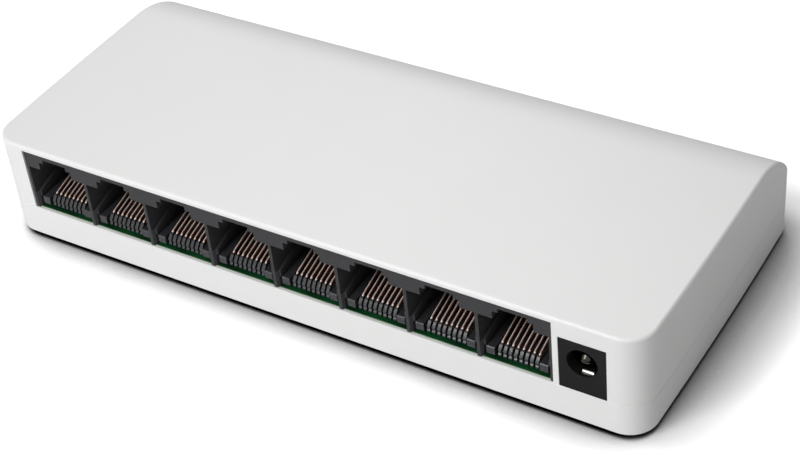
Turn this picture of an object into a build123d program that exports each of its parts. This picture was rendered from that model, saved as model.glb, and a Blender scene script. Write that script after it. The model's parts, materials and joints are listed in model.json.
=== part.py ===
"""Eight-port desktop network switch: two-shell case, ganged port block, power inlet and circuit board.

+X runs along the case, the ports face -Y, +Z is up. The origin is under the middle of the case, on the
surface that the rubber feet stand on. All sizes are in millimetres.
"""

import os
from math import cos, radians, sin, sqrt, tan

from build123d import *

os.makedirs("parts", exist_ok=True)

# --- case ---------------------------------------------------------------------------------------------
case_depth = 65.1
case_height = 21.8  # both shells, without the feet
case_margin_left = 7.85  # from the end of the case to the port opening
case_margin_right = 7.2  # from the power inlet to the end of the case
end_bow = 0.45  # how far each end face bulges at its middle
corner_radius = 5.2
rear_foot = 3.8  # upright foot of the rear, below the large round
top_edge_radius = 0.6
bottom_edge_chamfer = 0.4
wall = 1.8
ceiling = 1.5
floor = 1.8
seam_height = 7.0  # parting line above the underside of the case
seam_chamfer = 0.12
tongue_height = 1.6
tongue_clearance = 0.1

# --- feet, screws and wall mounting -------------------------------------------------------------------
foot_diameter = 8.0
foot_height = 1.6
foot_recess = 0.6
foot_inset_x = 11.65
foot_inset_y = 8.05
foot_clearance = 0.15
screw_inset_x = 8.65
screw_row = 26.0  # from the rear of the case
screw_head_diameter = 5.0
screw_head_height = 1.8
screw_diameter = 2.6
screw_length = 9.0
screw_clearance = 0.3
screw_head_sink = 2.2
screw_bite_gap = 0.02
boss_diameter = 7.0
rib_length = 10.0
rib_thickness = 1.4
rib_inset_x = 12.0
rib_inset_y = 8.0
keyhole_spread = 84.0
keyhole_entry = 6.6
keyhole_slot = 3.6
keyhole_travel = 5.5
keyhole_row = -2.0
vent_length = 14.0
vent_width = 1.6
vent_pitch = 4.0
vent_count = 8
vent_row_gap = 4.0

# --- circuit board ------------------------------------------------------------------------------------
board_thickness = 1.6
board_gap = 0.1  # top of the board above the parting line
board_edge_gap = 0.6
board_lip = 0.7  # thickness of the thin front lip that the board reaches up to
board_lip_gap = 0.05
board_corner = 3.0

# --- port block ---------------------------------------------------------------------------------------
port_count = 8
port_pitch = 13.97
opening_height = 13.7
opening_gap = 0.1
port_setback = 0.3
housing_depth = 15.7
housing_end = 0.22  # wall at each end of the block beyond the last divider
plug_width = 11.96
plug_floor = 2.35  # above the board
plug_ceiling = 9.9
plug_depth = 11.5
latch_shoulder_width = 7.7
latch_shoulder_top = 11.55
latch_slot_width = 5.5
latch_slot_top = 12.45
divider_edge = 0.65
divider_foot = 1.3
divider_foot_height = 3.6
divider_foot_chamfer = 0.64
rail_slope = 16.5
peg_diameter = 2.4
peg_back = 8.0
peg_clearance = 0.1

# --- contacts -----------------------------------------------------------------------------------------
contact_count = 8
contact_pitch = 1.02
contact_width = 0.36
contact_thickness = 0.28
contact_slope = 15.5
contact_reach = 10.2  # along the spring arm
bend_radius = 0.8
bend_facets = 5
bend_back = 2.9  # centre of the front bend behind the face of the port block
bend_height = 2.0  # centre of the front bend above the board
comb_rib = 0.52
insert_front = 0.7  # behind the face of the port block
insert_gap = 0.05
insert_block_width = 1.75
insert_lift = 0.55  # underside of the blocks and the comb above the board
insert_plate = 1.0  # top of the plate under the contacts, above the board
insert_wall = 1.2
comb_front = 1.0
comb_toe_height = 1.05
comb_notch = 0.2
comb_lean = 0.15
comb_nose_height = 1.6
comb_top = 2.5
comb_back = 3.9
stop_thickness = 0.75
stop_gap = 0.08
tail_row_front = 11.2
tail_row_spacing = 2.54
tail_width = 0.44
tail_length = 1.2
tail_hole = 0.76

# --- power inlet --------------------------------------------------------------------------------------
inlet_bar = 1.15  # strip of the top cover between the port opening and the inlet
inlet_width = 8.7
inlet_height = 10.9
inlet_depth = 14.0
inlet_axis_height = 6.6
inlet_bore = 5.7
inlet_front = 2.3
inlet_wall = 1.0
inlet_rear = 1.4
inlet_skin = 0.5  # left in front of the slot for the spring leaf
inlet_gap = 0.05
pin_diameter = 2.0
pin_recess = 0.7
pin_tip = 0.5
pin_fit = 0.03
pin_collar = 2.8  # wider rear end of the pin, held in the rear wall
leaf_width = 2.1
leaf_shift = 0.5
leaf_thickness = 0.3
leaf_crown = 2.3  # top of the crown below the axis
leaf_crown_back = 1.5  # crown behind the face
leaf_tip = 0.8  # from the crown forward and down to the tip
leaf_root_back = 10.6
leaf_root_height = 1.0
leaf_slot_gap = 0.25
leaf_slot_drop = 1.6
leaf_root_gap = 0.02
blade_thickness = 0.4
blade_length = 1.2  # below the board
blade_slot_gap = 0.2

# --- electronics --------------------------------------------------------------------------------------
middle_row_back = 25.5  # behind the port block
chip_size = 12.0
chip_height = 0.9
chip_bevel = 0.2
chip_x = 2.0
crystal_length = 11.2
crystal_width = 4.7
crystal_height = 3.6
crystal_x = -15.0
inductor_size = 7.0
inductor_corner = 1.6
inductor_height = 4.0
inductor_x = 38.0
inductor_step = 3.0  # in front of the middle row
regulator_length = 4.9
regulator_width = 3.9
regulator_height = 1.6
regulator_x = 29.0
regulator_step = 2.0  # in front of the middle row
diode_length = 4.4
diode_width = 2.6
diode_height = 2.2
diode_shift = 7.0  # left of the inlet
diode_step = 2.5  # behind the middle row
capacitor_count = 8
capacitor_pitch = 2.4
capacitor_length = 1.6
capacitor_width = 0.8
capacitor_height = 0.9
capacitor_start = -9.5
capacitor_step = 9.6  # in front of the middle row
resistor_count = 14
resistor_pitch = 2.2
resistor_length = 1.6
resistor_width = 0.8
resistor_height = 0.45
resistor_start = -52.0
resistor_step = 10.5  # in front of the middle row
transformer_gap = 3.85  # behind the port block
transformer_length = 15.0
transformer_width = 7.4
transformer_height = 5.6
led_count = 9
led_pitch = 7.0
led_height = 2.6  # axis of the light guides above the board
guide_width = 2.4
guide_height = 1.2
guide_clearance = 0.1
guide_inset = 5.2
guide_depth = 2.0
guide_foot = 0.9
guide_sink = 0.25
guide_leg = 1.0
led_body_length = 1.6
led_body_width = 0.8
led_body_height = 0.7
can_diameter = 6.3
can_height = 7.7
can_shift = 6.8  # left of the inlet
can_back = 11.5  # behind the port block
can_pitch = 9.0

# --- places worked out from the sizes above -----------------------------------------------------------
housing_length = port_count * port_pitch + 2 * housing_end
opening_length = housing_length + 2 * opening_gap
case_length = case_margin_left + opening_length + inlet_bar + inlet_width + case_margin_right
opening_left = -case_length / 2 + case_margin_left
opening_right = opening_left + opening_length
port_offset = (opening_left + opening_right) / 2
inlet_left = opening_right + inlet_bar
inlet_right = inlet_left + inlet_width
inlet_offset = (inlet_left + inlet_right) / 2
case_bottom = foot_height - foot_recess
case_top = case_bottom + case_height
rear_round = case_height - rear_foot
seam = case_bottom + seam_height
front = -case_depth / 2
rear = case_depth / 2
board_top = seam + board_gap
board_bottom = board_top - board_thickness
opening_top = seam + opening_height
housing_front = front + port_setback
housing_rear = housing_front + housing_depth
housing_top = opening_top - opening_gap
pocket_width = port_pitch - divider_foot
mouth_width = port_pitch - divider_edge
insert_top = board_top + plug_floor
pivot_y = housing_front + bend_back
pivot_z = board_top + bend_height
inlet_axis = board_top + inlet_axis_height
port_x = [port_offset + (i - (port_count - 1) / 2) * port_pitch for i in range(port_count)]
contact_x = [(i - (contact_count - 1) / 2) * contact_pitch for i in range(contact_count)]
rib_x = [(i - contact_count / 2) * contact_pitch for i in range(contact_count + 1)]
rebate = wall / 2
tray_floor = case_bottom + floor
keyhole_places = [(side * keyhole_spread / 2, keyhole_row) for side in (-1, 1)]
middle_row = housing_rear + middle_row_back
diode_place = (inlet_offset - diode_shift, middle_row + diode_step)
can_places = [(inlet_offset - can_shift, housing_rear + can_back + i * can_pitch) for i in range(2)]
capacitor_row = middle_row - capacitor_step
capacitor_places = [(capacitor_start + i * capacitor_pitch, capacitor_row) for i in range(capacitor_count)]
resistor_row = middle_row - resistor_step
resistor_places = [(resistor_start + i * resistor_pitch, resistor_row) for i in range(resistor_count)]
guide_x = [(i - (led_count - 1) / 2) * led_pitch for i in range(led_count)]
guide_z = board_top + led_height
guide_y = rear - guide_inset
guide_half = (led_count - 1) / 2 * led_pitch + guide_width
round_centre_z = case_top - rear_round
guide_end = rear - rear_round + sqrt(rear_round**2 - (guide_z - round_centre_z) ** 2) - guide_sink
screw_seat = case_bottom + screw_head_sink
screw_tip = screw_seat + screw_length
arm_rise = bend_radius * cos(radians(contact_slope)) + contact_reach * sin(radians(contact_slope))
stop_z = pivot_z + arm_rise + contact_thickness / 2 + stop_gap
rail_start = insert_front + insert_gap
rail_end_height = divider_foot_height + (plug_depth - rail_start) * tan(radians(rail_slope))
stop_top = stop_z + stop_thickness - board_top
stop_front = plug_depth + insert_gap
comb_crown = comb_front + comb_lean + comb_top - comb_nose_height
comb_shoulder = comb_front + 2 * comb_lean + (comb_crown - comb_front) / 4
peg_spread = (port_count // 2 - 1) * port_pitch
peg_places = [(port_offset + side * peg_spread, housing_front + peg_back) for side in (-1, 1)]
tail_y = [housing_front + tail_row_front, housing_front + tail_row_front + tail_row_spacing]
tail_places = [(x + dx, tail_y[i % 2]) for x in port_x for i, dx in enumerate(contact_x)]
board_half = case_length / 2 - end_bow - wall - board_edge_gap
screw_places = [(side * (case_length / 2 - screw_inset_x), rear - screw_row) for side in (-1, 1)]
rib_places = [
    (side * (case_length / 2 - rib_inset_x), row)
    for side in (-1, 1)
    for row in (front + rib_inset_y, rear - rib_inset_y)
]
foot_places = [
    (side * (case_length / 2 - foot_inset_x), end * (case_depth / 2 - foot_inset_y))
    for side in (-1, 1)
    for end in (-1, 1)
]


def finish(builder, name):
    """Label a finished piece and write it as its own STEP file."""
    builder.part.label = name
    export_step(builder.part, f"parts/{name}.step")


def case_block(inset, bottom, top, roof_inset):
    """The outer form of the case, shrunk by inset at the sides, between two heights."""
    half = case_length / 2 - inset
    near = front + inset
    far = rear - inset
    roof = case_top - roof_inset
    with BuildPart() as block:
        with BuildSketch(Plane.XY.offset(bottom)) as plan:
            with BuildLine():
                Line((-half + end_bow, near), (half - end_bow, near))
                ThreePointArc((half - end_bow, near), (half, 0), (half - end_bow, far))
                Line((half - end_bow, far), (-half + end_bow, far))
                ThreePointArc((-half + end_bow, far), (-half, 0), (-half + end_bow, near))
            make_face()
            fillet(plan.vertices(), corner_radius - inset)
        extrude(amount=top - bottom)
        with BuildSketch(Plane.YZ) as side:
            with Locations((near - 1, 0)):
                Rectangle(far - near + 1, roof, align=Align.MIN)
            fillet(side.vertices().sort_by(lambda v: v.X + v.Y)[-1], rear_round - inset)
        extrude(amount=case_length, both=True, mode=Mode.INTERSECT)
    return block.part


def box_between(x_range, y_range, z_range, mode=Mode.ADD):
    """A box between two planes along each axis."""
    (x0, x1), (y0, y1), (z0, z1) = x_range, y_range, z_range
    with Locations(((x0 + x1) / 2, (y0 + y1) / 2, (z0 + z1) / 2)):
        Box(x1 - x0, y1 - y0, z1 - z0, mode=mode)


# --- rubber feet --------------------------------------------------------------------------------------
with BuildPart() as rubber_feet:
    with BuildSketch():
        with Locations(*foot_places):
            Circle(foot_diameter / 2)
    extrude(amount=foot_height)
finish(rubber_feet, "rubber_feet")


# --- bottom cover -------------------------------------------------------------------------------------
with BuildPart() as bottom_cover:
    add(case_block(0, case_bottom, seam, 0))
    chamfer(bottom_cover.faces().sort_by(Axis.Z)[0].edges(), bottom_edge_chamfer)
    add(case_block(wall, tray_floor, seam, ceiling), mode=Mode.SUBTRACT)
    chamfer(bottom_cover.faces().sort_by(Axis.Z)[-1].outer_wire().edges(), seam_chamfer)
    # rebate that takes the tongue of the top cover
    add(case_block(rebate, seam - tongue_height, seam, ceiling), mode=Mode.SUBTRACT)
    # thin front lip, over which the board reaches forward
    box_between(
        (opening_left, inlet_right),
        (front + board_lip, front + wall + rebate),
        (board_bottom - board_lip_gap, seam),
        mode=Mode.SUBTRACT,
    )
    # bosses and ribs that carry the board; the bosses take the case screws
    with BuildSketch(Plane.XY.offset(tray_floor)):
        with Locations(*screw_places):
            Circle(boss_diameter / 2)
        with Locations(*rib_places):
            Rectangle(rib_length, rib_thickness)
    extrude(amount=board_bottom - tray_floor)
    with BuildSketch(Plane.XY.offset(case_bottom)):
        with Locations(*screw_places):
            Circle(screw_head_diameter / 2 + screw_clearance)
    extrude(amount=screw_head_sink, mode=Mode.SUBTRACT)
    with BuildSketch(Plane.XY.offset(case_bottom)):
        with Locations(*screw_places):
            Circle(screw_diameter / 2 + screw_clearance)
    extrude(amount=board_bottom - case_bottom, mode=Mode.SUBTRACT)
    # seats of the rubber feet
    with BuildSketch(Plane.XY.offset(case_bottom)):
        with Locations(*foot_places):
            Circle(foot_diameter / 2 + foot_clearance)
    extrude(amount=foot_recess, mode=Mode.SUBTRACT)
    # keyholes for hanging the switch on two wall screws
    with BuildSketch(Plane.XY.offset(case_bottom)):
        with Locations(*keyhole_places):
            Circle(keyhole_entry / 2)
    extrude(amount=floor, mode=Mode.SUBTRACT)
    with BuildSketch(Plane.XY.offset(case_bottom)):
        with Locations(*[(x, y + keyhole_travel / 2) for x, y in keyhole_places]):
            SlotCenterToCenter(keyhole_travel, keyhole_slot, rotation=90)
    extrude(amount=floor, mode=Mode.SUBTRACT)
    # two rows of vents between the keyholes
    with BuildSketch(Plane.XY.offset(case_bottom)):
        with GridLocations(vent_pitch, vent_length + vent_row_gap, vent_count, 2):
            Rectangle(vent_width, vent_length)
    extrude(amount=floor, mode=Mode.SUBTRACT)
finish(bottom_cover, "bottom_cover")


# --- top cover ----------------------------------------------------------------------------------------
def is_rim(edge):
    """Edges around the top and the rear round, without the smooth join across the top."""
    start, end, middle = edge.tangent_at(0), edge.tangent_at(1), edge.tangent_at(0.5)
    upright = abs(start.Z) > 0.99 and abs(end.Z) > 0.99
    smooth_join = abs(middle.X) > 0.999 and edge.center().Y > 0
    return edge.center().Z > seam + top_edge_radius and not upright and not smooth_join


with BuildPart() as top_cover:
    add(case_block(0, seam, case_top, 0))
    fillet(top_cover.edges().filter_by(is_rim), top_edge_radius)
    chamfer(top_cover.faces().sort_by(Axis.Z)[0].outer_wire().edges(), seam_chamfer)
    # tongue that drops into the bottom cover
    tongue_bottom = seam - tongue_height + tongue_clearance
    add(case_block(rebate + tongue_clearance, tongue_bottom, seam, ceiling))
    add(case_block(wall, tongue_bottom, case_top, ceiling), mode=Mode.SUBTRACT)
    box_between(
        (opening_left, inlet_right + inlet_gap),
        (front, front + wall + rebate),
        (tongue_bottom, seam),
        mode=Mode.SUBTRACT,
    )
    # room for the front edge of the board under the bar beside the inlet
    box_between(
        (opening_left, inlet_right),
        (front + board_lip, front + wall + rebate),
        (tongue_bottom, board_top + board_lip_gap),
        mode=Mode.SUBTRACT,
    )
    # port opening, with relief under the ceiling for the port block
    box_between(
        (opening_left, opening_right),
        (front - wall, housing_rear + board_edge_gap),
        (seam, opening_top),
        mode=Mode.SUBTRACT,
    )
    # inlet opening
    box_between(
        (inlet_left - inlet_gap, inlet_right + inlet_gap),
        (front - wall, front + 2 * wall),
        (seam, board_top + inlet_height + inlet_gap),
        mode=Mode.SUBTRACT,
    )
    # posts that clamp the board and take the case screws
    with BuildSketch(Plane.XY.offset(board_top)):
        with Locations(*screw_places):
            Circle(boss_diameter / 2)
    extrude(amount=case_top - ceiling / 2 - board_top)
    with BuildSketch(Plane.XY.offset(board_top)):
        with Locations(*screw_places):
            Circle(screw_diameter / 2 + screw_bite_gap)
    extrude(amount=screw_tip - board_top + screw_clearance, mode=Mode.SUBTRACT)
    # holes for the light guides in the rear round
    with BuildSketch(Plane.XZ.offset(-rear + rear_round / 2)):
        with Locations(*[(x, guide_z) for x in guide_x]):
            Rectangle(guide_width + 2 * guide_clearance, guide_height + 2 * guide_clearance)
    extrude(amount=-rear_round / 2, mode=Mode.SUBTRACT)
finish(top_cover, "top_cover")


# --- case screws --------------------------------------------------------------------------------------
with BuildPart() as case_screws:
    with BuildSketch(Plane.XY.offset(screw_seat - screw_head_height)):
        with Locations(*screw_places):
            Circle(screw_head_diameter / 2)
    extrude(amount=screw_head_height)
    with BuildSketch(Plane.XY.offset(screw_seat)):
        with Locations(*screw_places):
            Circle(screw_diameter / 2)
    extrude(amount=screw_length)
finish(case_screws, "case_screws")


# --- port block ---------------------------------------------------------------------------------------
def port_face(x):
    """Plane on the face of the port block at one port: local X is along the case, local Y is up."""
    return Plane((x, housing_front, board_top), x_dir=(1, 0, 0), z_dir=(0, -1, 0))


def port_section(x):
    """Plane through one port: local X goes back from the face, local Y is up from the board."""
    return Plane((x, housing_front, board_top), x_dir=(0, 1, 0), z_dir=(1, 0, 0))


with BuildPart() as port_void:
    # plug cavity with the stepped slot for the latch
    with BuildSketch(port_face(0)):
        Rectangle(plug_width, plug_ceiling, align=(Align.CENTER, Align.MIN))
        Rectangle(latch_shoulder_width, latch_shoulder_top, align=(Align.CENTER, Align.MIN))
        Rectangle(latch_slot_width, latch_slot_top, align=(Align.CENTER, Align.MIN))
    extrude(amount=-plug_depth)
    # wide mouth above the sloped guide rails
    with BuildSketch(port_section(0)):
        with BuildLine():
            Polyline(
                (0, divider_foot_height),
                (rail_start, divider_foot_height),
                (plug_depth, rail_end_height),
                (plug_depth, plug_ceiling),
                (0, plug_ceiling),
                close=True,
            )
        make_face()
    extrude(amount=mouth_width / 2, both=True)
    # between the chamfered feet of the dividers
    with BuildSketch(Plane((0, housing_front, board_top))):
        with BuildLine():
            Polyline(
                (-mouth_width / 2, 0),
                (mouth_width / 2, 0),
                (pocket_width / 2, divider_foot_chamfer),
                (pocket_width / 2, rail_start),
                (-pocket_width / 2, rail_start),
                (-pocket_width / 2, divider_foot_chamfer),
                close=True,
            )
        make_face()
    extrude(amount=divider_foot_height)
    # pocket that takes the contact insert from behind
    box_between(
        (-pocket_width / 2, pocket_width / 2),
        (housing_front + rail_start, housing_rear),
        (board_top, insert_top + insert_gap),
    )
    box_between(
        (-plug_width / 2, plug_width / 2),
        (housing_front + plug_depth, housing_rear),
        (board_top, board_top + stop_top + insert_gap),
    )

with BuildPart() as port_housing:
    box_between(
        (port_offset - housing_length / 2, port_offset + housing_length / 2),
        (housing_front, housing_rear),
        (board_top, housing_top),
    )
    with Locations(*[(x, 0, 0) for x in port_x]):
        add(port_void.part, mode=Mode.SUBTRACT)
    # pegs that locate the block on the board
    with BuildSketch(Plane.XY.offset(board_top)):
        with Locations(*peg_places):
            Circle(peg_diameter / 2)
    extrude(amount=-board_thickness)
finish(port_housing, "port_housing")


# --- contact inserts, one for each port ---------------------------------------------------------------
insert_half = plug_width / 2 - insert_gap
comb_half = insert_half - insert_block_width
insert_rear = housing_depth - insert_gap
with BuildPart() as insert:
    # rear wall, with the stop that the free ends of the contacts rest under
    with BuildSketch(port_section(0)):
        with BuildLine():
            Polyline(
                (insert_rear - insert_wall, 0),
                (insert_rear, 0),
                (insert_rear, stop_top),
                (stop_front, stop_top),
                (stop_front, stop_top - stop_thickness),
                (insert_rear - insert_wall, stop_top - stop_thickness),
                close=True,
            )
        make_face()
    extrude(amount=insert_half, both=True)
    # blocks on both sides of the comb
    for side in (-1, 1):
        with BuildSketch(port_section(side * (insert_half - insert_block_width / 2))):
            with Locations((insert_front, insert_lift)):
                Rectangle(insert_rear - insert_wall - insert_front, plug_floor - insert_lift, align=Align.MIN)
        extrude(amount=insert_block_width / 2, both=True)
    # plate under the feet of the contacts
    plate_length = tail_row_front - tail_hole / 2 - bend_back
    with BuildSketch(port_section(0)):
        with Locations((bend_back, insert_lift)):
            Rectangle(plate_length, insert_plate - insert_lift, align=Align.MIN)
    extrude(amount=comb_half, both=True)
    # comb that spaces the contacts
    with BuildSketch(*[port_section(x) for x in rib_x]):
        with BuildLine():
            Polyline(
                (comb_back - comb_lean, comb_top),
                (comb_back, insert_lift),
                (comb_front, insert_lift),
                (comb_front, comb_toe_height),
                (comb_front + comb_notch, comb_toe_height + comb_notch),
                (comb_front + comb_lean, comb_toe_height + 2 * comb_notch),
                (comb_front + comb_lean, comb_nose_height),
                (comb_shoulder, (comb_nose_height + comb_top) / 2 + comb_lean),
                (comb_crown, comb_top),
                close=True,
            )
        make_face()
    extrude(amount=comb_rib / 2, both=True)
for number, x in enumerate(port_x, start=1):
    with BuildPart() as port_insert:
        with Locations((x, 0, 0)):
            add(insert.part)
    finish(port_insert, f"port_{number}_insert")


# --- spring contacts, one set for each port -----------------------------------------------------------
bend_start = 90 + contact_slope
bend_turn = 270 - bend_start
along = Vector(cos(radians(contact_slope)), sin(radians(contact_slope)))


def bend(radius):
    """Points round the front bend at a radius, from the arm to the foot."""
    angles = [radians(bend_start + bend_turn * i / bend_facets) for i in range(bend_facets + 1)]
    return [Vector(radius * cos(angle), radius * sin(angle)) for angle in angles]


with BuildPart() as contact:
    with BuildSketch(Plane((0, pivot_y, pivot_z), x_dir=(0, 1, 0), z_dir=(1, 0, 0))):
        with BuildLine():
            outside = bend(bend_radius + contact_thickness / 2)
            inside = bend(bend_radius - contact_thickness / 2)
            arm = along * contact_reach
            Polyline(outside[0] + arm, *outside, *reversed(inside), inside[0] + arm, close=True)
        make_face()
    extrude(amount=contact_width / 2, both=True)
for number, x in enumerate(port_x, start=1):
    with BuildPart() as port_contacts:
        with Locations(*[(x + dx, 0, 0) for dx in contact_x]):
            add(contact.part)
    finish(port_contacts, f"port_{number}_contacts")


# --- fixed leads of the contacts, down through the board ----------------------------------------------
lead_top = -bend_radius + contact_thickness / 2
lead_bottom = -bend_radius - contact_thickness / 2
tail_end = board_bottom - tail_length - pivot_z


def lead(tail):
    """One lead: back from the foot of the bend, then down through the board at tail."""
    with BuildPart() as wire:
        with BuildSketch(Plane((0, pivot_y, pivot_z), x_dir=(0, 1, 0), z_dir=(1, 0, 0))):
            with BuildLine():
                Polyline(
                    (0, lead_top),
                    (tail + tail_width / 2, lead_top),
                    (tail + tail_width / 2, tail_end),
                    (tail - tail_width / 2, tail_end),
                    (tail - tail_width / 2, lead_bottom),
                    (0, lead_bottom),
                    close=True,
                )
            make_face()
        extrude(amount=contact_width / 2, both=True)
    return wire.part


with BuildPart() as contact_leads:
    for row in (0, 1):
        wire = lead(tail_y[row] - pivot_y)
        with Locations(*[(x + dx, 0, 0) for x in port_x for dx in contact_x[row::2]]):
            add(wire)
finish(contact_leads, "contact_leads")


# --- power inlet --------------------------------------------------------------------------------------
inlet_face = Plane((inlet_offset, front, inlet_axis), x_dir=(1, 0, 0), z_dir=(0, -1, 0))
leaf_x = inlet_offset + leaf_shift
with BuildPart() as inlet_body:
    box_between(
        (inlet_left, inlet_right), (front, front + inlet_depth), (board_top, board_top + inlet_height)
    )
    # hollow behind the face, open to the board and to the side of the ports
    box_between(
        (inlet_left, inlet_right - inlet_wall),
        (front + inlet_front, front + inlet_depth - inlet_rear),
        (board_top, board_top + inlet_height - inlet_wall),
        mode=Mode.SUBTRACT,
    )
    # slot in the face that the spring leaf reaches up through
    box_between(
        (leaf_x - leaf_width / 2 - leaf_slot_gap, leaf_x + leaf_width / 2 + leaf_slot_gap),
        (front + inlet_skin, front + inlet_front),
        (inlet_axis - inlet_bore / 2 - leaf_slot_drop, inlet_axis - leaf_crown + leaf_slot_gap),
        mode=Mode.SUBTRACT,
    )
    with BuildSketch(inlet_face):
        Circle(inlet_bore / 2)
    extrude(amount=-inlet_front, mode=Mode.SUBTRACT)
    with BuildSketch(inlet_face):
        Circle(pin_collar / 2 + pin_fit)
    extrude(amount=-inlet_depth, mode=Mode.SUBTRACT)
finish(inlet_body, "inlet_body")

collar_front = front + inlet_depth - inlet_rear
collar_rear = front + inlet_depth
with BuildPart() as inlet_pin:
    with BuildSketch(Plane.XZ.offset(-collar_front)):
        with Locations((inlet_offset, inlet_axis)):
            Circle(pin_diameter / 2)
    extrude(amount=collar_front - front - pin_recess)
    chamfer(inlet_pin.edges().group_by(Axis.Y)[0], pin_tip)
    with BuildSketch(Plane.XZ.offset(-collar_rear)):
        with Locations((inlet_offset, inlet_axis)):
            Circle(pin_collar / 2)
    extrude(amount=inlet_rear)
    box_between(
        (inlet_offset - pin_diameter / 2, inlet_offset + pin_diameter / 2),
        (collar_rear, collar_rear + blade_thickness),
        (board_bottom - blade_length, inlet_axis + pin_diameter / 2),
    )
finish(inlet_pin, "inlet_pin")

root_y = front + leaf_root_back
root_z = board_top + leaf_root_height
crown_y = front + leaf_crown_back
crown_z = inlet_axis - leaf_crown
tip_y = crown_y - leaf_tip
tip_z = crown_z - leaf_tip
with BuildPart() as inlet_leaf:
    with BuildSketch(Plane.YZ.offset(leaf_x)):
        with BuildLine():
            ThreePointArc(
                (crown_y + leaf_tip, crown_z - leaf_thickness),
                (crown_y, crown_z),
                (tip_y, tip_z),
            )
            Line((tip_y, tip_z), (tip_y + leaf_thickness, tip_z - leaf_thickness / 2))
            ThreePointArc(
                (tip_y + leaf_thickness, tip_z - leaf_thickness / 2),
                (crown_y, crown_z - leaf_thickness),
                (crown_y + leaf_tip, crown_z - 2 * leaf_thickness),
            )
            Polyline(
                (crown_y + leaf_tip, crown_z - 2 * leaf_thickness),
                (root_y, root_z - leaf_thickness / 2),
                (root_y, root_z + leaf_thickness / 2),
                (crown_y + leaf_tip, crown_z - leaf_thickness),
            )
        make_face()
    extrude(amount=leaf_width / 2, both=True)
finish(inlet_leaf, "inlet_leaf")

with BuildPart() as inlet_terminal:
    box_between(
        (leaf_x - leaf_width / 2, leaf_x + leaf_width / 2),
        (root_y + leaf_root_gap, root_y + leaf_root_gap + blade_thickness),
        (board_bottom - blade_length, root_z + leaf_thickness / 2),
    )
finish(inlet_terminal, "inlet_terminal")


# --- circuit board ------------------------------------------------------------------------------------
board_front = front + wall + board_edge_gap
board_rear = rear - wall - board_edge_gap
reach_left = opening_left + board_lip_gap
reach_right = inlet_right - board_lip_gap
reach_front = front + board_lip + board_lip_gap
blade_slot = blade_thickness + 2 * blade_slot_gap
with BuildPart() as circuit_board:
    with BuildSketch(Plane.XY.offset(board_bottom)):
        with Locations((0, (board_front + board_rear) / 2)):
            RectangleRounded(2 * board_half, board_rear - board_front, board_corner)
        # reach that carries the port block and the inlet up to the front lip
        with Locations((reach_left, reach_front)):
            Rectangle(reach_right - reach_left, board_corner + wall, align=Align.MIN)
        with Locations(*screw_places):
            Circle(screw_diameter / 2 + screw_clearance, mode=Mode.SUBTRACT)
        with Locations(*peg_places):
            Circle(peg_diameter / 2 + peg_clearance, mode=Mode.SUBTRACT)
        with Locations(*tail_places):
            Rectangle(tail_hole, tail_hole, mode=Mode.SUBTRACT)
        with Locations((inlet_offset, front + inlet_depth + blade_thickness / 2)):
            Rectangle(pin_diameter + 2 * blade_slot_gap, blade_slot, mode=Mode.SUBTRACT)
        with Locations((leaf_x, root_y + leaf_root_gap + blade_thickness / 2)):
            Rectangle(leaf_width + 2 * blade_slot_gap, blade_slot, mode=Mode.SUBTRACT)
    extrude(amount=board_thickness)
finish(circuit_board, "circuit_board")


# --- network transformers, one for each pair of ports -------------------------------------------------
transformer_places = [
    ((port_x[i] + port_x[i + 1]) / 2, housing_rear + transformer_gap + transformer_width / 2)
    for i in range(0, port_count, 2)
]
with BuildPart() as network_transformers:
    with BuildSketch(Plane.XY.offset(board_top)):
        with Locations(*transformer_places):
            Rectangle(transformer_length, transformer_width)
    extrude(amount=transformer_height)
    chamfer(network_transformers.edges().group_by(Axis.Z)[-1], chip_bevel)
finish(network_transformers, "network_transformers")


# --- smaller components -------------------------------------------------------------------------------
def components(name, places, height, outline, bevel=0):
    """Write one node of identical components that stand on the board."""
    with BuildPart() as body:
        with BuildSketch(Plane.XY.offset(board_top)):
            with Locations(*places):
                outline()
        extrude(amount=height)
        if bevel:
            chamfer(body.edges().group_by(Axis.Z)[-1], bevel)
    finish(body, name)


components(
    "switch_chip",
    [(chip_x, middle_row)],
    chip_height,
    lambda: Rectangle(chip_size, chip_size),
    chip_bevel,
)
components("filter_capacitors", can_places, can_height, lambda: Circle(can_diameter / 2))
components(
    "crystal",
    [(crystal_x, middle_row)],
    crystal_height,
    lambda: SlotOverall(crystal_length, crystal_width),
)
components(
    "power_inductor",
    [(inductor_x, middle_row - inductor_step)],
    inductor_height,
    lambda: RectangleRounded(inductor_size, inductor_size, inductor_corner),
)
components(
    "voltage_regulator",
    [(regulator_x, middle_row - regulator_step)],
    regulator_height,
    lambda: Rectangle(regulator_length, regulator_width),
    chip_bevel,
)
components(
    "input_diode",
    [diode_place],
    diode_height,
    lambda: Rectangle(diode_length, diode_width),
    chip_bevel,
)
components(
    "chip_capacitors",
    capacitor_places,
    capacitor_height,
    lambda: Rectangle(capacitor_length, capacitor_width),
)
components(
    "chip_resistors",
    resistor_places,
    resistor_height,
    lambda: Rectangle(resistor_width, resistor_length),
)
components(
    "status_leds",
    [(x, guide_y) for x in guide_x],
    led_body_height,
    lambda: Rectangle(led_body_length, led_body_width),
)


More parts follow.
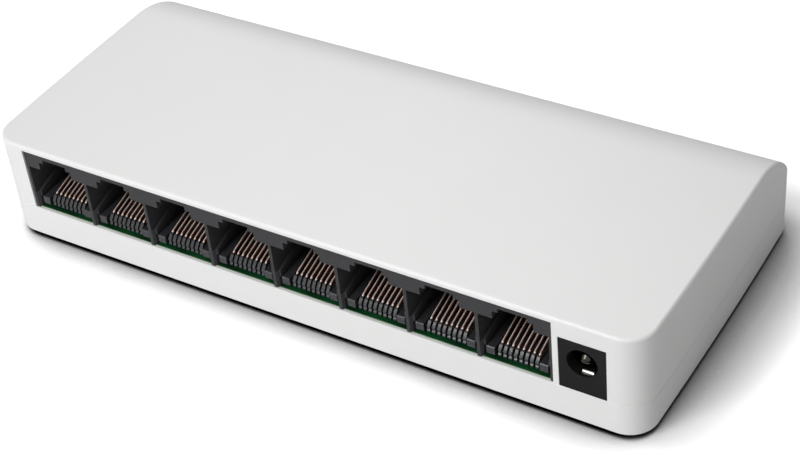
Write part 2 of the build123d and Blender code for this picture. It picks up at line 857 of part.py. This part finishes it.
# --- light guide over the row of status lights --------------------------------------------------------
with BuildPart() as light_guide:
    with BuildSketch(Plane.YZ.offset(-guide_half)):
        with BuildLine():
            Polyline(
                (guide_y - guide_depth / 2, board_top + guide_foot),
                (guide_y + guide_depth / 2, board_top + guide_foot),
                (guide_y + guide_depth / 2, guide_z + guide_height / 2),
                (guide_y, guide_z + guide_height / 2),
                (guide_y - guide_depth / 2, guide_z - guide_height / 2),
                close=True,
            )
        make_face()
    extrude(amount=2 * guide_half)
    for leg in (-guide_half, guide_half - guide_leg):
        box_between(
            (leg, leg + guide_leg),
            (guide_y - guide_depth / 2, guide_y + guide_depth / 2),
            (board_top, board_top + guide_foot),
        )
    with BuildSketch(Plane.XZ.offset(-guide_y)):
        with Locations(*[(x, guide_z) for x in guide_x]):
            Rectangle(guide_width, guide_height)
    extrude(amount=-(guide_end - guide_y))
finish(light_guide, "light_guide")
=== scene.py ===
import json
import math

import bmesh
import bpy
from mathutils import Matrix, Vector


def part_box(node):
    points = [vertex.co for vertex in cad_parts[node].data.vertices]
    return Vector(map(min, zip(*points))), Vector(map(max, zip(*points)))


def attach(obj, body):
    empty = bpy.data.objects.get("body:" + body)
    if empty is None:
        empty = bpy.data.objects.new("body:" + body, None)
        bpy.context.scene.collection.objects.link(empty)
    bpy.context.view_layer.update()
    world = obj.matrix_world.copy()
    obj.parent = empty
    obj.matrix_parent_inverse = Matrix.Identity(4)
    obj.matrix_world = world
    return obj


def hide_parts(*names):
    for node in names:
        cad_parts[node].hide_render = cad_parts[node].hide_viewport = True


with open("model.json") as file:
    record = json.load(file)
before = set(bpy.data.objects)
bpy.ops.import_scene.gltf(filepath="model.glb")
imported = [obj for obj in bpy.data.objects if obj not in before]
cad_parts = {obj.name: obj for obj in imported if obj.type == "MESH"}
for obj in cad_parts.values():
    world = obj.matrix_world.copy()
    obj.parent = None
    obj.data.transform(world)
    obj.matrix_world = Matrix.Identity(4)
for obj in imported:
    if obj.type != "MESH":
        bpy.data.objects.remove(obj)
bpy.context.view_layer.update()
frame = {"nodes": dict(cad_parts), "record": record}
MM = 0.001


# --- colour and nodes -------------------------------------------------------------------------------------
def linear(hex_colour):
    """An sRGB hex colour as the linear RGBA that the shaders take."""
    channels = [int(hex_colour[i:i + 2], 16) / 255 for i in (1, 3, 5)]
    return [c / 12.92 if c <= 0.04045 else ((c + 0.055) / 1.055) ** 2.4 for c in channels] + [1.0]


def node(tree, kind, settings=None, inputs=None):
    """Adds a node with its own settings. Inputs are values, or the nodes or sockets linked to them."""
    new = tree.nodes.new(kind)
    for name, value in (settings or {}).items():
        setattr(new, name, value)
    for name, value in (inputs or {}).items():
        if isinstance(value, bpy.types.Node):
            value = value.outputs[0]
        if isinstance(value, bpy.types.NodeSocket):
            tree.links.new(value, new.inputs[name])
        else:
            new.inputs[name].default_value = value
    return new


def start(name):
    """A new empty material, with its node tree and the place of each point in metres."""
    material = bpy.data.materials.new(name)
    material.use_nodes = True
    material.node_tree.nodes.clear()
    place = node(material.node_tree, "ShaderNodeTexCoord").outputs["Object"]
    return material, material.node_tree, place


def end(tree, **inputs):
    """Closes a material: its shader takes the inputs, whose names have _ for each space."""
    named = {name.replace("_", " "): value for name, value in inputs.items()}
    shader = node(tree, "ShaderNodeBsdfPrincipled", inputs=named)
    node(tree, "ShaderNodeOutputMaterial", inputs={"Surface": shader})


# --- finishes ---------------------------------------------------------------------------------------------
GLOSS_SPREAD = 0.08  # how far roughness wanders to either side over one skin


def spark_textured_abs():
    """White ABS moulded in a finely spark-eroded tool: a smooth satin skin, rubbed a little glossier in
    patches by handling, with a grain that only a close look finds."""
    material, tree, place = start("spark_textured_white_abs")
    flow = node(tree, "ShaderNodeTexNoise", inputs={"Vector": place, "Scale": 1 / (60 * MM), "Detail": 1.0})
    tint = node(
        tree, "ShaderNodeMix", {"data_type": "RGBA"},
        {0: flow, 6: linear("#EBEBEB"), 7: linear("#EFEFEE")},
    ).outputs[2]
    handled = node(
        tree, "ShaderNodeTexNoise", inputs={"Vector": place, "Scale": 1 / (14 * MM), "Detail": 3.0}
    )
    satin = node(tree, "ShaderNodeMapRange", inputs={"Value": handled, "To Min": 0.38, "To Max": 0.5})
    grain = node(tree, "ShaderNodeTexNoise", inputs={"Vector": place, "Scale": 1 / (0.4 * MM), "Detail": 3.0})
    edges = node(tree, "ShaderNodeBevel", {"samples": 4}, {"Radius": 0.15 * MM})
    skin = node(tree, "ShaderNodeBump", inputs={"Height": grain, "Distance": 0.008 * MM, "Normal": edges})
    end(tree, Base_Color=tint, Roughness=satin, Normal=skin, IOR=1.53)
    return material


def glass_filled_pbt(name, dark, light, rough, shine):
    """Black glass-filled PBT, moulded: dull charcoal, greyed in specks where glass lies under the skin, and
    a little brighter along the edges, which the mould leaves rounded."""
    material, tree, place = start(name)
    glass = node(tree, "ShaderNodeTexNoise", inputs={"Vector": place, "Scale": 1 / (0.5 * MM), "Detail": 4.0})
    tint = node(
        tree, "ShaderNodeMix", {"data_type": "RGBA"}, {0: glass, 6: linear(dark), 7: linear(light)}
    ).outputs[2]
    sheen = node(
        tree, "ShaderNodeMapRange",
        inputs={"Value": glass, "To Min": rough - GLOSS_SPREAD, "To Max": rough + GLOSS_SPREAD},
    )
    edges = node(tree, "ShaderNodeBevel", {"samples": 6}, {"Radius": 0.08 * MM})
    skin = node(tree, "ShaderNodeBump", inputs={"Height": glass, "Distance": 0.01 * MM, "Normal": edges})
    end(tree, Base_Color=tint, Roughness=sheen, Normal=skin, IOR=1.56, Specular_IOR_Level=shine)
    return material


def gold_flashed_bronze():
    """Phosphor bronze strip, rolled, gold flashed and bent. The flats carry painted shade, a dark brown that
    varies along the rolling lines; edges and bend top carry a painted highlight in pale pinkish gold."""
    material, tree, place = start("gold_flashed_phosphor_bronze")
    along = node(tree, "ShaderNodeMapping", inputs={"Vector": place, "Scale": (8.0, 0.3, 0.3)})
    lines = node(tree, "ShaderNodeTexNoise", inputs={"Vector": along, "Scale": 1 / (0.6 * MM), "Detail": 2.0})
    # the strip's attribute gives the share of painted highlight at each point
    highlight_share = node(tree, "ShaderNodeAttribute", {"attribute_name": "painted_highlight"}).outputs["Fac"]
    # painted shade: the flats' dark brown, varied along the rolling lines
    banded = node(
        tree, "ShaderNodeMix", {"data_type": "RGBA"},
        {0: lines, 6: linear("#2A0F09"), 7: linear("#471F15")},
    ).outputs[2]
    # painted highlight: pale pinkish gold laid over the painted shade where the attribute is high
    tint = node(
        tree, "ShaderNodeMix", {"data_type": "RGBA"}, {0: highlight_share, 6: banded, 7: linear("#FFE2D6")}
    ).outputs[2]
    rolled = node(tree, "ShaderNodeMapRange", inputs={"Value": lines, "To Min": 0.35, "To Max": 0.5})
    skin = node(tree, "ShaderNodeBump", inputs={"Height": lines, "Distance": 0.003 * MM})
    # a mirror would show only the dark port round it, so most of the gold's colour is spread light
    end(tree, Base_Color=tint, Metallic=0.1, Roughness=rolled, Normal=skin)
    return material


def bright_nickel_plate():
    """Brass turned or stamped, then bright nickel plated: a warm grey mirror, clouded by the plating."""
    material, tree, place = start("bright_nickel_plate")
    cloud = node(tree, "ShaderNodeTexNoise", inputs={"Vector": place, "Scale": 1 / (1.2 * MM), "Detail": 3.0})
    tint = node(
        tree, "ShaderNodeMix", {"data_type": "RGBA"},
        {0: cloud, 6: linear("#B9B6AE"), 7: linear("#DEDCD6")},
    ).outputs[2]
    mirror = node(tree, "ShaderNodeMapRange", inputs={"Value": cloud, "To Min": 0.12, "To Max": 0.3})
    edges = node(tree, "ShaderNodeBevel", {"samples": 6}, {"Radius": 0.12 * MM})
    skin = node(tree, "ShaderNodeBump", inputs={"Height": cloud, "Distance": 0.003 * MM, "Normal": edges})
    end(tree, Base_Color=tint, Metallic=1.0, Roughness=mirror, Normal=skin)
    return material


def rolled_nickel_strip():
    """Nickel plated spring bronze, rolled and cut across, with painted reflection stripes: bright and dark
    bands about 0.5 mm apart.
    """
    material, tree, place = start("rolled_nickel_plated_bronze")
    across = node(tree, "ShaderNodeMapping", inputs={"Vector": place, "Scale": (0.05, 1.0, 1.0)})
    bands = node(
        tree, "ShaderNodeTexNoise", inputs={"Vector": across, "Scale": 1 / (0.5 * MM), "Detail": 1.0}
    )
    # painted reflection: dark grey and bright nickel bands, with roughness that follows them
    painted_stripe_mask = node(tree, "ShaderNodeMapRange", inputs={"Value": bands, "From Min": 0.42, "From Max": 0.58})
    tint = node(
        tree, "ShaderNodeMix", {"data_type": "RGBA"}, {0: painted_stripe_mask, 6: linear("#4A4946"), 7: linear("#C9C7C2")}
    ).outputs[2]
    banded = node(tree, "ShaderNodeMapRange", inputs={"Value": painted_stripe_mask, "To Min": 0.42, "To Max": 0.2})
    edges = node(tree, "ShaderNodeBevel", {"samples": 6}, {"Radius": 0.1 * MM})
    skin = node(tree, "ShaderNodeBump", inputs={"Height": bands, "Distance": 0.01 * MM, "Normal": edges})
    end(tree, Base_Color=tint, Metallic=1.0, Roughness=banded, Normal=skin)
    return material


def solder_masked_board():
    """Woven glass and epoxy under green solder mask: copper shows as lighter raised bands through the
    mask, and the sawn edges are bare, pale and rough."""
    material, tree, place = start("solder_masked_glass_epoxy")
    facing = node(tree, "ShaderNodeTexCoord").outputs["Normal"]
    upright = node(tree, "ShaderNodeSeparateXYZ", inputs={"Vector": facing}).outputs["Z"]
    masked = node(tree, "ShaderNodeMath", {"operation": "ABSOLUTE"}, {0: upright})
    copper = node(
        tree, "ShaderNodeTexWave", {"bands_direction": "DIAGONAL", "wave_profile": "TRI"},
        {"Vector": place, "Scale": 1 / (16 * MM), "Distortion": 5.0, "Detail": 0.0},
    )
    mask = node(
        tree, "ShaderNodeMix", {"data_type": "RGBA"},
        {0: copper, 6: linear("#072B15"), 7: linear("#0F4A27")},
    ).outputs[2]
    fibres = node(
        tree, "ShaderNodeTexNoise", inputs={"Vector": place, "Scale": 1 / (0.3 * MM), "Detail": 4.0}
    )
    sawn = node(
        tree, "ShaderNodeMix", {"data_type": "RGBA"},
        {0: fibres, 6: linear("#3F7A4B"), 7: linear("#B9CDA9")},
    ).outputs[2]
    tint = node(tree, "ShaderNodeMix", {"data_type": "RGBA"}, {0: masked, 6: sawn, 7: mask}).outputs[2]
    gloss = node(tree, "ShaderNodeMapRange", inputs={"Value": masked, "To Min": 0.75, "To Max": 0.35})
    relief = node(tree, "ShaderNodeBump", inputs={"Height": copper, "Distance": 0.035 * MM})
    end(tree, Base_Color=tint, Roughness=gloss, Normal=relief, IOR=1.5)
    return material


def nitrile_rubber():
    """Moulded nitrile rubber: black, matt and a little dusty."""
    material, tree, place = start("moulded_nitrile_rubber")
    dust = node(tree, "ShaderNodeTexNoise", inputs={"Vector": place, "Scale": 1 / (2 * MM), "Detail": 5.0})
    tint = node(
        tree, "ShaderNodeMix", {"data_type": "RGBA"},
        {0: dust, 6: linear("#131314"), 7: linear("#333332")},
    ).outputs[2]
    matt = node(tree, "ShaderNodeMapRange", inputs={"Value": dust, "To Min": 0.7, "To Max": 0.95})
    skin = node(tree, "ShaderNodeBump", inputs={"Height": dust, "Distance": 0.02 * MM})
    end(tree, Base_Color=tint, Roughness=matt, Normal=skin, IOR=1.5)
    return material


def board_part_finish(name, dark, light, rough, cloud_mm, **fixed):
    """A small board component: two close tones, a clouded gloss and a fine skin, cloud_mm across."""
    material, tree, place = start(name)
    cloud = node(
        tree, "ShaderNodeTexNoise",
        inputs={"Vector": place, "Scale": 1 / (cloud_mm * MM), "Detail": 3.0},
    )
    tint = node(
        tree, "ShaderNodeMix", {"data_type": "RGBA"}, {0: cloud, 6: linear(dark), 7: linear(light)}
    ).outputs[2]
    gloss = node(
        tree, "ShaderNodeMapRange",
        inputs={"Value": cloud, "To Min": rough - GLOSS_SPREAD, "To Max": rough + GLOSS_SPREAD},
    )
    skin = node(tree, "ShaderNodeBump", inputs={"Height": cloud, "Distance": 0.006 * MM})
    end(tree, Base_Color=tint, Roughness=gloss, Normal=skin, **fixed)
    return material


FINISHES = {
    "white_abs": spark_textured_abs(),
    "black_pbt": glass_filled_pbt("glass_filled_black_pbt", "#39393B", "#464648", 0.48, 0.1),
    "rubber": nitrile_rubber(),
    "gold_bronze": gold_flashed_bronze(),
    "nickel_brass": bright_nickel_plate(),
    "fr4": solder_masked_board(),
    # filled epoxy: charcoal with a dull, finely speckled skin
    "epoxy": board_part_finish("transfer_moulded_black_epoxy", "#141517", "#26272A", 0.52, 0.4),
    # deep-drawn nickel silver: warm grey, softly brushed by the die
    "crystal_can": board_part_finish("drawn_nickel_silver", "#A9A8A3", "#CFCEC9", 0.26, 1.5, Metallic=1.0),
    # pressed and fired: dark grey with a dry, sandy skin
    "ferrite": board_part_finish("pressed_fired_ferrite", "#222326", "#3A3B3F", 0.68, 0.3),
    # drawn aluminium: cool silver, soft gloss
    "can_aluminium": board_part_finish("drawn_aluminium", "#BBBDC1", "#DFE1E4", 0.3, 1.5, Metallic=1.0),
    # fired barium titanate: tan, faintly glossy
    "mlcc": board_part_finish("fired_capacitor_ceramic", "#856746", "#A98863", 0.42, 0.3),
    # glass glaze over alumina: near black and glossy
    "alumina": board_part_finish("glazed_alumina", "#111113", "#27272B", 0.3, 0.3),
    # cast clear epoxy over a yellow phosphor
    "led": board_part_finish("cast_lamp_epoxy", "#E2DFB8", "#F4F2DC", 0.18, 0.5),
    # moulded frosted polycarbonate: milky where light leaves it
    "clear_pc": board_part_finish("frosted_polycarbonate", "#E2E8EA", "#F6F9FA", 0.3, 1.0, IOR=1.58),
    # bright zinc plate on steel: bluish silver
    "zinc_steel": board_part_finish("bright_zinc_plate", "#A2A5AA", "#C6C9CC", 0.3, 0.8, Metallic=1.0),
}
for part in frame["record"]["subparts"]:
    shown = frame["nodes"][part["node"]]
    shown.data.materials.clear()
    shown.data.materials.append(FINISHES[part["material_slot"]])
# the inlet is moulded in a deeper black than the port block
inlet_skin = glass_filled_pbt("glass_filled_deep_black_pbt", "#0F0F10", "#161617", 0.55, 0.15)
frame["nodes"]["inlet_body"].data.materials[0] = inlet_skin
# the leaf gets painted reflection stripes, straight across it
frame["nodes"]["inlet_leaf"].data.materials[0] = rolled_nickel_strip()
# no plug rubs the leads, and they keep their plain gold plating, without the contacts' painted highlight and
# shade
frame["nodes"]["contact_leads"].data.materials[0] = board_part_finish(
    "gold_flashed_lead", "#9A6238", "#C98A58", 0.35, 1.0, Metallic=1.0
)
# the pin's nickel is coloured near black, a painted shade for the dark bore that it mirrors, so it shows
# darker than the leaf beside it
frame["nodes"]["inlet_pin"].data.materials[0] = board_part_finish(
    "nickel_plate_painted_dark", "#32302D", "#4C4A45", 0.14, 0.5, Metallic=1.0
)
# the guides are moulded in a tighter-grained grade, whose chamfers glint
guide_skin = glass_filled_pbt("glass_filled_glossy_black_pbt", "#2E2F31", "#3B3C3F", 0.18, 0.4)


# --- spring contacts --------------------------------------------------------------------------------------
CONTACTS = 8
PITCH = 1.02 * MM
WIDTH = 0.36 * MM
THICKNESS = 0.28 * MM
EDGE = 0.08 * MM  # round of the strip's edges
HOLLOW = 0.01 * MM  # how far each flat dips
BEND = 0.8 * MM  # radius of the bend, to the middle of the strip
REACH = 10.2 * MM  # straight stretch from the bend to the free end
SLOPE = math.radians(15.5)
EDGE_STEPS = 4
BEND_STEPS = 16
EDGE_HIGHLIGHT = {-1: 1.0, 1: 0.12}  # painted highlight on the top's left edge and on its right one
FLAT_HIGHLIGHT = ((0.07, 0.0), (0.02, 0.0), (-0.01, 1.0), (-0.08, 1.0))  # millimetres across the flat, painted highlight
# turns along the bend, in degrees: where the painted highlight on the bend peaks, how wide it is, where
# the edges' painted highlight ends in painted shade at the foot, and over how much it fades
GLINT_TURN, GLINT_WIDTH, FOOT_SHADE_TURN, FOOT_SHADE_FADE = 126, 14, 165, 25


def strip_section():
    """Points round the strip's section, as (across, out, painted highlight). The edges are rounded; on the
    top the left edge and left half of the flat carry painted highlight, the right edge a little, and each
    flat is a little hollow."""
    points = []
    for side_x, side_y, first in ((1, 1, 0), (-1, 1, 90), (-1, -1, 180), (1, -1, 270)):
        middle_x = side_x * (WIDTH / 2 - EDGE)
        middle_y = side_y * (THICKNESS / 2 - EDGE)
        for step in range(EDGE_STEPS + 1):
            turn = math.radians(first + 90 / EDGE_STEPS * step)
            # only the top side carries painted highlight
            highlight_level = EDGE_HIGHLIGHT[side_x] if side_y > 0 else 0.0
            points.append((middle_x + EDGE * math.cos(turn), middle_y + EDGE * math.sin(turn), highlight_level))
        if first in (0, 180):
            for across, highlight_level in FLAT_HIGHLIGHT:
                highlight_level = highlight_level if side_y > 0 else 0.0
                points.append((side_y * across * MM, side_y * (THICKNESS / 2 - HOLLOW), highlight_level))
    return points


def spring_contacts(number):
    """The contacts of one port: strips that rise to the rear from a smooth bend over the comb."""
    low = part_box(f"port_{number}_contacts")[0]
    bend_y = low[1] + BEND + THICKNESS / 2
    bend_z = low[2] + BEND + THICKNESS / 2
    first_turn, last_turn = math.radians(90) + SLOPE, math.radians(270)
    # the line of the strip as (y, z, turn of its outward normal), from the free end to the foot
    line = []
    for share in (1.0, 0.6, 0.3):
        line.append((
            bend_y + BEND * math.cos(first_turn) + share * REACH * math.cos(SLOPE),
            bend_z + BEND * math.sin(first_turn) + share * REACH * math.sin(SLOPE),
            first_turn,
        ))
    for step in range(BEND_STEPS + 1):
        turn = first_turn + (last_turn - first_turn) * step / BEND_STEPS
        line.append((bend_y + BEND * math.cos(turn), bend_z + BEND * math.sin(turn), turn))
    section = strip_section()
    around = len(section)
    vertices, faces, painted_highlight = [], [], []
    for contact in range(CONTACTS):
        middle = low[0] + WIDTH / 2 + contact * PITCH
        base = len(vertices)
        for y, z, turn in line:
            # painted highlight on the top of the bend, and painted shade at the foot of the bend
            highlight_share = max(0.0, 1 - abs(math.degrees(turn) - GLINT_TURN) / GLINT_WIDTH)
            clear_of_foot_shade = min(1.0, max(0.0, (FOOT_SHADE_TURN - math.degrees(turn)) / FOOT_SHADE_FADE))
            for across, out, highlight_level in section:
                vertices.append((middle + across, y + out * math.cos(turn), z + out * math.sin(turn)))
                painted_highlight.append(max(highlight_level * clear_of_foot_shade, highlight_share if out > 0 else 0.0))
        for ring in range(len(line) - 1):
            for i in range(around):
                here, after = base + ring * around + i, base + ring * around + (i + 1) % around
                faces.append((here, here + around, after + around, after))
        faces.append([base + i for i in range(around)])
        faces.append([base + (len(line) - 1) * around + i for i in reversed(range(around))])
    mesh = bpy.data.meshes.new(f"port_{number}_spring_strips")
    mesh.from_pydata(vertices, [], faces)
    mesh.attributes.new("painted_highlight", "FLOAT", "POINT").data.foreach_set("value", painted_highlight)
    mesh.shade_smooth()
    mesh.set_sharp_from_angle(angle=math.radians(60))
    mesh.materials.append(FINISHES["gold_bronze"])
    strips = bpy.data.objects.new(f"port_{number}_spring_strips", mesh)
    bpy.context.collection.objects.link(strips)
    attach(strips, f"port_{number}_springs")
    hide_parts(f"port_{number}_contacts")


# --- contact guides ---------------------------------------------------------------------------------------
# outlines in millimetres, as (behind the port's face, above the board)
GUIDE_REAR = ((14.45, 0), (15.65, 0), (15.65, 6.47), (11.55, 6.47), (11.55, 5.72), (14.45, 5.72))
GUIDE_BLOCK = ((0.85, 0.55), (14.6, 0.55), (14.6, 2.35), (0.85, 2.35), (0.7, 2.2), (0.7, 0.7))
GUIDE_PLATE = ((2.3, 0.6), (10.8, 0.6), (10.8, 1.0), (2.3, 1.0))
# a finger in front of each contact, hollowed to the round of its bend, with a toe and a nose
FINGER = (
    (1.0, 0.55), (1.0, 0.9), (1.22, 1.12), (1.12, 1.3), (1.12, 1.8), (1.38, 2.12), (1.75, 2.55), (2.1, 2.74),
    (2.05, 2.55), (1.92, 2.3), (1.87, 2.0), (1.92, 1.65), (2.12, 1.33), (2.45, 1.08), (2.6, 0.9), (2.6, 0.55),
)
FINGER_WIDTH = 0.64
FINGER_CHAMFER = 0.05
GUIDE_CHAMFER = 0.08
GUIDE_SETBACK = 0.7  # the guide's front behind the port's face
GUIDE_HALF = 5.93  # half the guide's width
BLOCK_INNER = 4.25  # from the guide's middle to each side block
PLATE_HALF = 4.35  # half the plate's width, so that it runs into the side blocks


def contact_guide(number):
    """What holds the contacts of one port: rear wall with a stop, side blocks, plate and eight fingers."""
    low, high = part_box(f"port_{number}_insert")
    middle, face, board = (low[0] + high[0]) / 2, low[1] - GUIDE_SETBACK * MM, low[2]
    shape = bmesh.new()

    def moulded(outline, first, last, chamfer):
        """Adds the solid with this outline from first to last, in millimetres across from the middle."""
        ring = [
            shape.verts.new((middle + first * MM, face + behind * MM, board + above * MM))
            for behind, above in outline
        ]
        sheet = shape.faces.new(ring)
        pulled = bmesh.ops.extrude_face_region(shape, geom=[sheet])["geom"]
        far = [part for part in pulled if isinstance(part, bmesh.types.BMVert)]
        bmesh.ops.translate(shape, verts=far, vec=((last - first) * MM, 0, 0))
        solid = set(ring + far)
        edges = [edge for edge in shape.edges if edge.verts[0] in solid and edge.verts[1] in solid]
        if chamfer:
            bmesh.ops.bevel(
                shape, geom=edges, offset=chamfer * MM, segments=2, profile=0.5, affect="EDGES",
                clamp_overlap=True,
            )

    moulded(GUIDE_REAR, -GUIDE_HALF, GUIDE_HALF, GUIDE_CHAMFER)
    for side in (-1, 1):
        moulded(GUIDE_BLOCK, *sorted((side * BLOCK_INNER, side * GUIDE_HALF)), GUIDE_CHAMFER)
    moulded(GUIDE_PLATE, -PLATE_HALF, PLATE_HALF, 0)
    for contact in range(CONTACTS):
        across = (contact - (CONTACTS - 1) / 2) * PITCH / MM
        moulded(FINGER, across - FINGER_WIDTH / 2, across + FINGER_WIDTH / 2, FINGER_CHAMFER)
    bmesh.ops.recalc_face_normals(shape, faces=shape.faces)
    mesh = bpy.data.meshes.new(f"port_{number}_guide")
    shape.to_mesh(mesh)
    shape.free()
    mesh.materials.append(guide_skin)
    guide = bpy.data.objects.new(f"port_{number}_guide", mesh)
    bpy.context.collection.objects.link(guide)
    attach(guide, "switch")
    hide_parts(f"port_{number}_insert")


for port in range(1, 9):
    contact_guide(port)
    spring_contacts(port)


# --- studio -----------------------------------------------------------------------------------------------
def soft_box(name, place, side, power):
    """A square lamp behind a diffuser, aimed at the middle of the case and unseen by the camera."""
    lamp = bpy.data.lights.new(name, "AREA")
    lamp.size = side
    lamp.energy = power
    held = bpy.data.objects.new(name, lamp)
    held.location = place
    held.rotation_mode = "QUATERNION"
    held.rotation_quaternion = (Vector((0, 0, 0.01)) - Vector(place)).to_track_quat("-Z", "Y")
    held.visible_camera = False
    bpy.context.collection.objects.link(held)


def seen_rays(tree):
    """The kinds of ray, and 1 for the rays by which the camera, mirrors and clear pieces see things."""
    rays = node(tree, "ShaderNodeLightPath").outputs
    mirrored = node(
        tree, "ShaderNodeMath", {"operation": "MAXIMUM"},
        {0: rays["Is Camera Ray"], 1: rays["Is Glossy Ray"]},
    )
    seen = node(
        tree, "ShaderNodeMath", {"operation": "MAXIMUM"}, {0: mirrored, 1: rays["Is Transmission Ray"]}
    )
    return rays, seen


SHEET_HALF = 3.0  # metres from the middle of the floor to its edges
SHEET_BURN = 2.2  # how much lighter the camera sees the sheet than it is
SHADE_REACH = 20 * MM  # how far from the case painted shade deepens its shadow on the sheet
SHADE_SHUT = 0.35  # share of open sky below which the painted shade is black
FADE_START, FADE_END = 0.16, 0.4  # metres from the middle, over which the sheet turns into the white room


def paper_sweep():
    """A white sheet under the switch. The camera sees it burnt out to white, but for the shadow; close to
    the case, painted shade from ambient occlusion darkens the sheet's colour and deepens that shadow."""
    half = SHEET_HALF
    mesh = bpy.data.meshes.new("floor")
    corners = [(-half, -half, 0), (half, -half, 0), (half, half, 0), (-half, half, 0)]
    mesh.from_pydata(corners, [], [(0, 1, 2, 3)])
    floor = bpy.data.objects.new("floor", mesh)
    bpy.context.collection.objects.link(floor)
    material, tree, place = start("uncoated_white_paper")
    rays, seen = seen_rays(tree)
    fibres = node(tree, "ShaderNodeTexNoise", inputs={"Vector": place, "Scale": 1 / (3 * MM), "Detail": 4.0})
    plain = node(
        tree, "ShaderNodeMix", {"data_type": "RGBA"}, {0: fibres, 6: linear("#F0F0F0"), 7: linear("#F6F6F6")}
    ).outputs[2]
    burnt = node(
        tree, "ShaderNodeMapRange",
        inputs={"Value": rays["Is Camera Ray"], "To Min": 1.0, "To Max": SHEET_BURN},
    )
    # painted shade: the sheet's colour darkens where the case shuts out the open sky
    opened = node(
        tree, "ShaderNodeAmbientOcclusion", {"samples": 16}, {"Distance": SHADE_REACH}
    ).outputs["AO"]
    contact = node(
        tree, "ShaderNodeMapRange", inputs={"Value": opened, "From Min": SHADE_SHUT, "To Max": burnt}
    )
    paper = node(tree, "ShaderNodeMix", {"data_type": "RGBA"}, {0: seen, 6: plain, 7: contact}).outputs[2]
    lit = node(tree, "ShaderNodeBsdfDiffuse", inputs={"Color": paper})
    # far from the switch the sheet runs out into the white room
    reach = node(tree, "ShaderNodeVectorMath", {"operation": "LENGTH"}, {0: place}).outputs["Value"]
    away = node(
        tree, "ShaderNodeMapRange", inputs={"Value": reach, "From Min": FADE_START, "From Max": FADE_END}
    )
    faded = node(tree, "ShaderNodeMath", {"operation": "MULTIPLY"}, {0: away, 1: seen})
    white = node(tree, "ShaderNodeEmission", inputs={"Color": linear("#FFFFFF"), "Strength": 1.0})
    surface = node(tree, "ShaderNodeMixShader", inputs={0: faded, 1: lit, 2: white})
    node(tree, "ShaderNodeOutputMaterial", inputs={"Surface": surface})
    mesh.materials.append(material)


def white_studio():
    """A dim white room, which the camera and mirrors see at full white."""
    world = bpy.data.worlds.new("white_studio")
    bpy.context.scene.world = world
    world.use_nodes = True
    tree = world.node_tree
    tree.nodes.clear()
    seen = seen_rays(tree)[1]
    level = node(tree, "ShaderNodeMapRange", inputs={"Value": seen, "To Min": 0.15, "To Max": 1.0})
    room = node(tree, "ShaderNodeBackground", inputs={"Color": linear("#FFFFFF"), "Strength": level})
    node(tree, "ShaderNodeOutputWorld", inputs={"Surface": room})


paper_sweep()
white_studio()
soft_box("front_box", (-0.10, -0.45, 0.45), 0.3, 2.05)
soft_box("low_left_box", (-0.20, -0.45, 0.04), 0.2, 0.5)
soft_box("overhead_left_box", (-0.10, -0.02, 0.28), 0.15, 0.12)
soft_box("overhead_right_box", (0.06, -0.035, 0.16), 0.08, 0.035)
soft_box("rear_box", (-0.40, 0.60, 0.50), 0.4, 1.0)

# the camera's place and its picture's directions, in metres and in the shared frame
CAMERA_PLACE = (0.15673, -0.22234, 0.22024)
CAMERA_RIGHT = (0.85529, 0.51073, -0.08736)
CAMERA_DOWN = (0.26682, -0.57864, -0.77070)
CAMERA_FORWARD = (-0.44417, 0.63586, -0.63118)


def set_up_camera():
    """A long lens to the right of the ports, looking down on them and across the top."""
    camera = bpy.data.objects.new("camera", bpy.data.cameras.new("camera"))
    bpy.context.collection.objects.link(camera)
    bpy.context.scene.camera = camera
    axes = Matrix((Vector(CAMERA_RIGHT), -Vector(CAMERA_DOWN), -Vector(CAMERA_FORWARD)))
    camera.matrix_world = Matrix.Translation(CAMERA_PLACE) @ axes.transposed().to_4x4()
    camera.data.sensor_width = 36.0
    camera.data.lens = 81.37
    camera.data.clip_start = 0.01


set_up_camera()
bpy.context.scene.view_settings.view_transform = "Standard"
